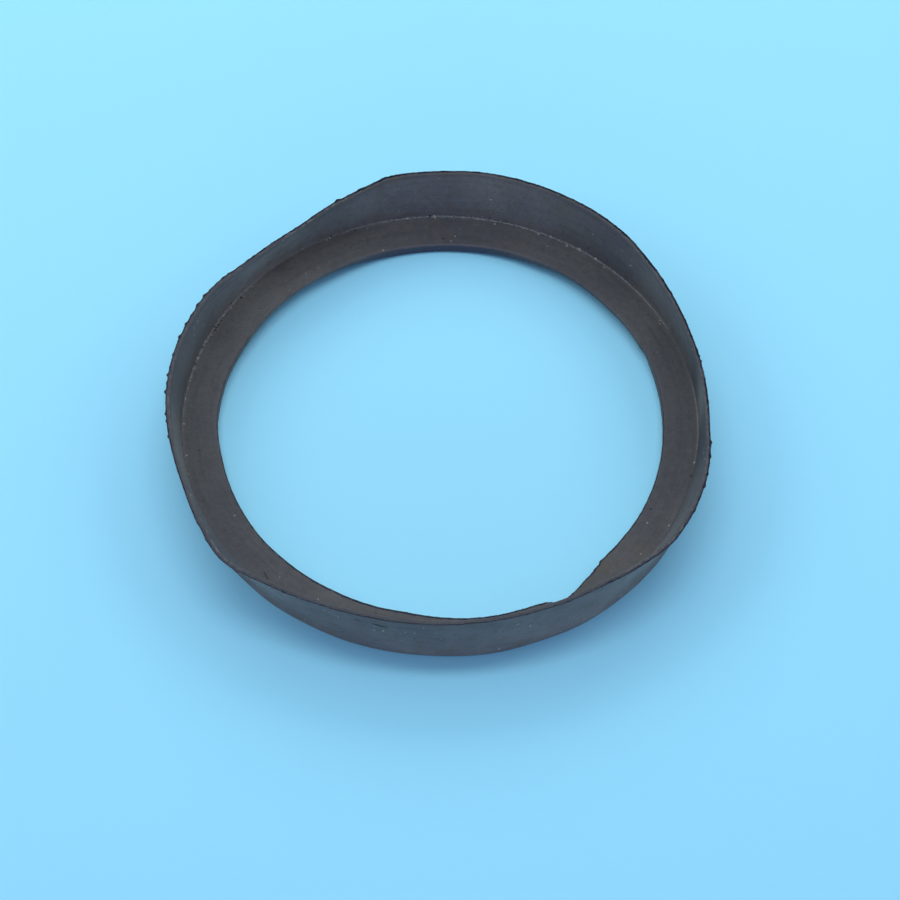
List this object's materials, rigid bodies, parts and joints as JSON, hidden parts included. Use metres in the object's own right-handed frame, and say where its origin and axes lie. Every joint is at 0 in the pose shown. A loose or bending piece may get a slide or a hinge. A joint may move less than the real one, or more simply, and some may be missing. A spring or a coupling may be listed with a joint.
{
  "type": "cup seal",
  "caption": "Moulded rubber cup seal of L section: a flat flange with a round hole, and a thin standing wall with a buckled rim and a worn flange edge.",
  "frame": {"origin": "centre of the hole, at the underside of the flange", "axes": "+Z along the hole's axis, up the wall towards the rim; the worn stretch of the flange's edge lies at 300 degrees from +X, seen from above"},
  "size_m": [0.091, 0.0926, 0.011],
  "materials": {
    "rubber": "matt moulded rubber with a dry grey bloom"
  },
  "bodies": {
    "root": {"cup_seal": "rubber"}
  },
  "joints": []
}
